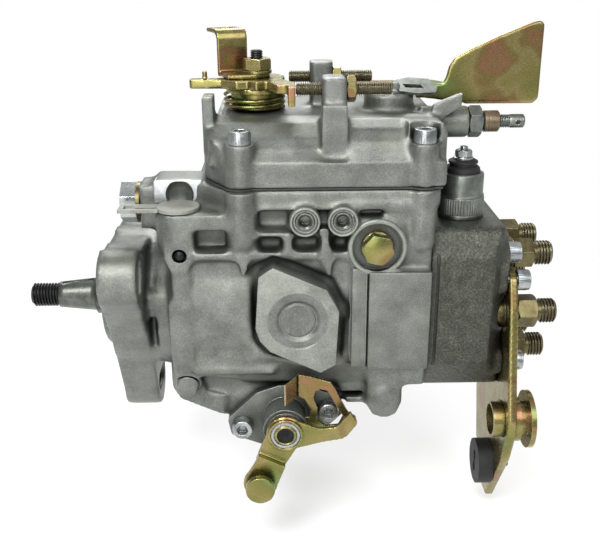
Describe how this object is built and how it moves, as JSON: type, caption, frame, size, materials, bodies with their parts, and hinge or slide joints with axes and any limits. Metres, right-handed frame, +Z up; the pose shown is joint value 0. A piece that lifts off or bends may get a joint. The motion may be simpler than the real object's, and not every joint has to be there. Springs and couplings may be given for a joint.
{
  "type": "diesel injection pump",
  "caption": "Rotary distributor diesel injection pump with tapered drive shaft, slotted mounting flange, governor cover, throttle and cold-start levers and rear support bracket.",
  "frame": {"origin": "centre of the mounting flange face, on the drive shaft axis", "axes": "+X along the drive shaft toward the injection-line outlets, +Z up toward the governor cover, -Y toward the cold-start lever side"},
  "size_m": [0.2595, 0.1211, 0.241],
  "materials": {
    "pump_housing": "matte cast",
    "side_plugs": "machined",
    "ball_plug": "machined",
    "pivot_bolts": "yellow zinc-chromate plated",
    "shaft_seal": "matt black",
    "feed_pump_ring": "machined",
    "feed_pump_plate": "machined",
    "governor_shaft": "machined",
    "governor_cover": "matte cast",
    "cover_gasket": "thin gasket",
    "cover_screws": "bright zinc plated",
    "distributor_head": "sand-cast, oiled",
    "distributor_barrel": "machined",
    "head_screws": "bright zinc plated",
    "delivery_valve_holders": "brassy zinc-chromate plated",
    "head_centre_plug": "brassy zinc-chromate plated",
    "solenoid_body": "bright zinc plated",
    "solenoid_insulator": "matt black",
    "solenoid_terminal": "bright zinc plated",
    "rear_bracket": "yellow zinc-chromate plated",
    "bracket_bush": "yellow zinc-chromate plated",
    "rubber_buffer": "matt black",
    "cold_start_cover": "matte cast",
    "timer_end_cover": "matte cast",
    "timer_cover_screws": "bright zinc plated",
    "timer_spring": "machined",
    "stop_screws": "yellow zinc-chromate plated",
    "lock_nuts": "yellow zinc-chromate plated",
    "cable_bracket": "yellow zinc-chromate plated",
    "full_load_screw": "brassy zinc-chromate plated",
    "inlet_bolt": "yellow zinc-chromate plated",
    "inlet_washer": "brassy zinc-chromate plated",
    "inlet_cap": "matt",
    "throttle_spring": "yellow zinc-chromate plated",
    "governor_spring": "machined",
    "cold_start_stop_plate": "yellow zinc-chromate plated",
    "plunger_springs": "machined",
    "spring_bridge": "machined",
    "drive_shaft": "machined",
    "feed_pump_rotor": "machined",
    "drive_gear": "machined",
    "cam_plate": "machined",
    "plunger": "machined",
    "governor_gear": "machined",
    "flyweights": "machined",
    "governor_sleeve": "machined",
    "governor_lever": "machined",
    "control_collar": "machined",
    "timer_piston": "matte cast",
    "roller_ring": "machined",
    "cam_rollers": "machined",
    "throttle_spindle": "black oxide",
    "spring_cup": "yellow zinc-chromate plated",
    "throttle_lever": "yellow zinc-chromate plated",
    "lever_tab": "yellow zinc-chromate plated",
    "spindle_washers": "yellow zinc-chromate plated",
    "spindle_nut": "yellow zinc-chromate plated",
    "cold_start_shaft": "machined",
    "cold_start_lever": "yellow zinc-chromate plated",
    "solenoid_plunger": "machined"
  },
  "bodies": {
    "pump": {"pump_housing": "pump_housing", "side_plugs": "side_plugs", "ball_plug": "ball_plug", "pivot_bolts": "pivot_bolts", "shaft_seal": "shaft_seal", "feed_pump_ring": "feed_pump_ring", "feed_pump_plate": "feed_pump_plate", "governor_shaft": "governor_shaft", "governor_cover": "governor_cover", "cover_gasket": "cover_gasket", "cover_screws": "cover_screws", "distributor_head": "distributor_head", "distributor_barrel": "distributor_barrel", "head_screws": "head_screws", "delivery_valve_holders": "delivery_valve_holders", "head_centre_plug": "head_centre_plug", "solenoid_body": "solenoid_body", "solenoid_insulator": "solenoid_insulator", "solenoid_terminal": "solenoid_terminal", "rear_bracket": "rear_bracket", "bracket_bush": "bracket_bush", "rubber_buffer": "rubber_buffer", "cold_start_cover": "cold_start_cover", "timer_end_cover": "timer_end_cover", "timer_cover_screws": "timer_cover_screws", "timer_spring": "timer_spring", "stop_screws": "stop_screws", "lock_nuts": "lock_nuts", "cable_bracket": "cable_bracket", "full_load_screw": "full_load_screw", "inlet_bolt": "inlet_bolt", "inlet_washer": "inlet_washer", "inlet_cap": "inlet_cap", "throttle_spring": "throttle_spring", "governor_spring": "governor_spring", "cold_start_stop_plate": "cold_start_stop_plate", "plunger_springs": "plunger_springs", "spring_bridge": "spring_bridge"},
    "drive": {"drive_shaft": "drive_shaft", "feed_pump_rotor": "feed_pump_rotor", "drive_gear": "drive_gear", "cam_plate": "cam_plate", "plunger": "plunger"},
    "governor": {"governor_gear": "governor_gear", "flyweights": "flyweights"},
    "sleeve": {"governor_sleeve": "governor_sleeve"},
    "lever": {"governor_lever": "governor_lever"},
    "collar": {"control_collar": "control_collar"},
    "timer": {"timer_piston": "timer_piston"},
    "rollers": {"roller_ring": "roller_ring", "cam_rollers": "cam_rollers"},
    "throttle": {"throttle_spindle": "throttle_spindle", "spring_cup": "spring_cup", "throttle_lever": "throttle_lever", "lever_tab": "lever_tab", "spindle_washers": "spindle_washers", "spindle_nut": "spindle_nut"},
    "cold_start": {"cold_start_shaft": "cold_start_shaft", "cold_start_lever": "cold_start_lever"},
    "stop_valve": {"solenoid_plunger": "solenoid_plunger"}
  },
  "joints": [
    {"name": "shaft_spin", "type": "hinge", "parent": "pump", "child": "drive", "pos_m": [0, 0, 0], "axis": [1, 0, 0], "continuous": true},
    {"name": "governor_spin", "type": "hinge", "parent": "pump", "child": "governor", "pos_m": [0.06, 0, 0.05], "axis": [1, 0, 0], "continuous": true},
    {"name": "sleeve_slide", "type": "slide", "parent": "pump", "child": "sleeve", "axis": [1, 0, 0], "range_m": [0, 0.0011], "stiffness_N_per_m": 1500, "springref_m": -0.001},
    {"name": "lever_tilt", "type": "hinge", "parent": "pump", "child": "lever", "pos_m": [0.1255, 0, 0.0401], "axis": [0, 1, 0], "range_deg": [0, 6.77]},
    {"name": "collar_slide", "type": "slide", "parent": "pump", "child": "collar", "axis": [-1, 0, 0], "range_m": [0, 0.0034]},
    {"name": "timer_slide", "type": "slide", "parent": "pump", "child": "timer", "axis": [0, 1, 0], "range_m": [0, 0.006], "stiffness_N_per_m": 4000, "springref_m": -0.002, "deforming": ["timer_spring"]},
    {"name": "roller_ring_turn", "type": "hinge", "parent": "pump", "child": "rollers", "pos_m": [0.0833, 0, 0], "axis": [1, 0, 0], "range_deg": [0, 7.2]},
    {"name": "throttle_turn", "type": "hinge", "parent": "pump", "child": "throttle", "pos_m": [0.072, 0, 0.105], "axis": [0, 0, -1], "range_deg": [0, 42], "stiffness_Nm_per_rad": 0.4, "springref_deg": -34.38},
    {"name": "cold_start_turn", "type": "hinge", "parent": "pump", "child": "cold_start", "pos_m": [0.0833, -0.05, -0.0505], "axis": [0, -1, 0], "range_deg": [0, 30], "stiffness_Nm_per_rad": 0.2, "springref_deg": -28.65},
    {"name": "stop_valve_slide", "type": "slide", "parent": "pump", "child": "stop_valve", "axis": [0, 0, 1], "range_m": [0, 0.0015], "stiffness_N_per_m": 300, "springref_m": -0.003}
  ],
  "couplings": [
    {"joint": "governor_spin", "follows": "shaft_spin", "ratio": -1.5806},
    {"joint": "lever_tilt", "follows": "sleeve_slide", "rad_per_m": 101.01},
    {"joint": "collar_slide", "follows": "sleeve_slide", "ratio": 2.9596},
    {"joint": "roller_ring_turn", "follows": "timer_slide", "rad_per_m": 19.802}
  ]
}
